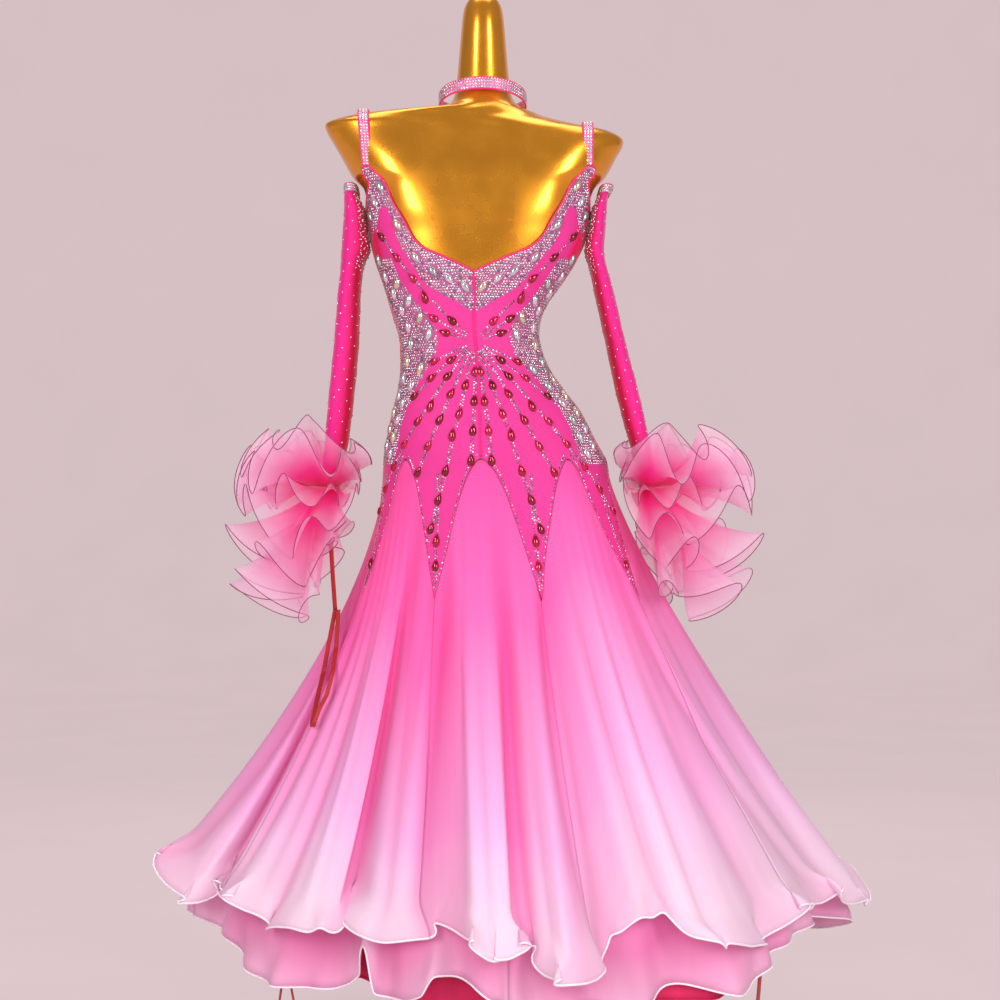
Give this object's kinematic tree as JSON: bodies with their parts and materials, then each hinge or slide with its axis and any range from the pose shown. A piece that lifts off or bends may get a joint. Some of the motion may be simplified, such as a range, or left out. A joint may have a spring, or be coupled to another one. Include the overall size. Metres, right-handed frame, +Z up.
{
  "type": "ballroom dance gown on dress form",
  "caption": "Fitted ballroom dance gown with a stone-set V back, off-shoulder sleeves with ruffled cuffs and a full godet skirt, on a limbless gold dress form with a round stand.",
  "frame": {"origin": "on the floor at the middle of the stand base", "axes": "+Z up along the form, -Y out of the back of the gown, +X toward the wearer's right hand side as seen from behind"},
  "size_m": [1.0524, 0.8702, 1.587],
  "materials": {
    "form_gold": "glossy gold lacquer",
    "stand_gold": "glossy gold lacquer",
    "stretch_pink": "matt stretch cloth set with stones",
    "zip_pink": "woven tape",
    "stone_band": "band closely set with stones",
    "sleeve_crimson": "sheer stretch cloth",
    "ruffle_organza": "crisp translucent organza",
    "skirt_organza": "soft organza, dyed from hot pink to near white",
    "second_layer": "soft organza with a stiffened hem",
    "inner_pink": "deep pink cloth",
    "red_ribbon": "satin ribbon",
    "set_stone": "faceted and clear"
  },
  "bodies": {
    "root": {"bodice_back_left": "stretch_pink", "bodice_back_right": "stretch_pink", "bodice_front": "stretch_pink", "choker": "stone_band", "form_base": "stand_gold", "form_pole": "stand_gold", "form_torso": "form_gold", "godet_back_centre": "skirt_organza", "godet_back_left": "skirt_organza", "godet_back_right": "skirt_organza", "godet_front_centre": "skirt_organza", "godet_front_left": "skirt_organza", "godet_front_right": "skirt_organza", "godet_side_left": "skirt_organza", "godet_side_right": "skirt_organza", "lining_back_left": "inner_pink", "lining_back_right": "inner_pink", "lining_front_left": "inner_pink", "lining_front_right": "inner_pink", "ribbon_left_cuff": "red_ribbon", "ribbon_left_hem_a": "red_ribbon", "ribbon_left_hem_b": "red_ribbon", "ribbon_right_hem": "red_ribbon", "ruffle_left_lower": "ruffle_organza", "ruffle_left_middle": "ruffle_organza", "ruffle_left_upper": "ruffle_organza", "ruffle_right_lower": "ruffle_organza", "ruffle_right_middle": "ruffle_organza", "ruffle_right_upper": "ruffle_organza", "set_stone_1": "set_stone", "set_stone_2": "set_stone", "set_stone_3": "set_stone", "set_stone_4": "set_stone", "set_stone_5": "set_stone", "set_stone_6": "set_stone", "set_stone_7": "set_stone", "set_stone_8": "set_stone", "sleeve_band_left": "stone_band", "sleeve_band_right": "stone_band", "sleeve_left": "sleeve_crimson", "sleeve_right": "sleeve_crimson", "strap_left": "stone_band", "strap_right": "stone_band", "underlayer_back_left": "second_layer", "underlayer_back_right": "second_layer", "underlayer_front_left": "second_layer", "underlayer_front_right": "second_layer", "zip_tape": "zip_pink"}
  },
  "joints": []
}
